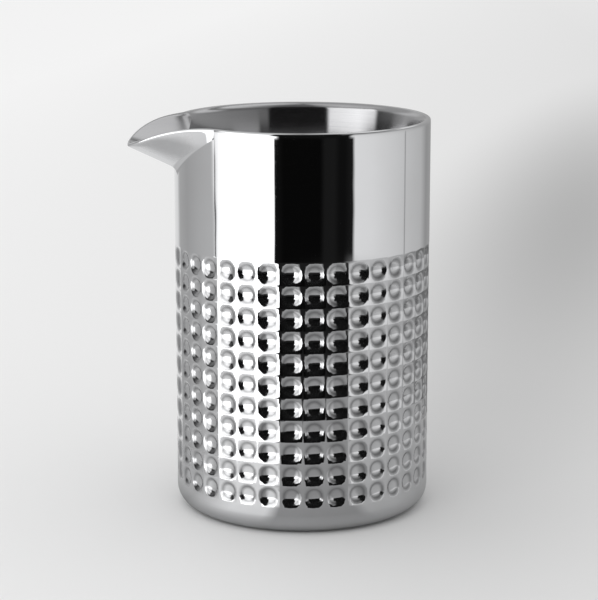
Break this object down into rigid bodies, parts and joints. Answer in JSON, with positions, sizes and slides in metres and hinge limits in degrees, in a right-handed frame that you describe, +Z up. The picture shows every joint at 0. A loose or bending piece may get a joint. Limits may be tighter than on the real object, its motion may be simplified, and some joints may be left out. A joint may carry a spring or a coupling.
{
  "type": "cocktail mixing vessel",
  "caption": "Straight double-walled steel mixing vessel with a round rolled rim, a pointed pouring spout and rows of pressed dimples round its lower wall.",
  "frame": {"origin": "centre of the base, on the surface that the vessel stands on", "axes": "+Z up along the wall's axis, spout along -X, XZ the plane of symmetry"},
  "size_m": [0.1072, 0.09, 0.139],
  "materials": {
    "polished_steel": "mirror-polished stainless steel",
    "satin_steel": "satin stainless steel, brushed round the axis",
    "base_steel": "plain rolled stainless steel",
    "seal_glass": "fused solder glass",
    "getter_metal": "sintered metal pill"
  },
  "bodies": {
    "root": {"outer_shell": "polished_steel", "pouring_spout": "polished_steel", "inner_liner": "satin_steel", "base_cap": "base_steel", "base_cover": "base_steel", "port_seal": "seal_glass", "getter": "getter_metal"}
  },
  "joints": []
}
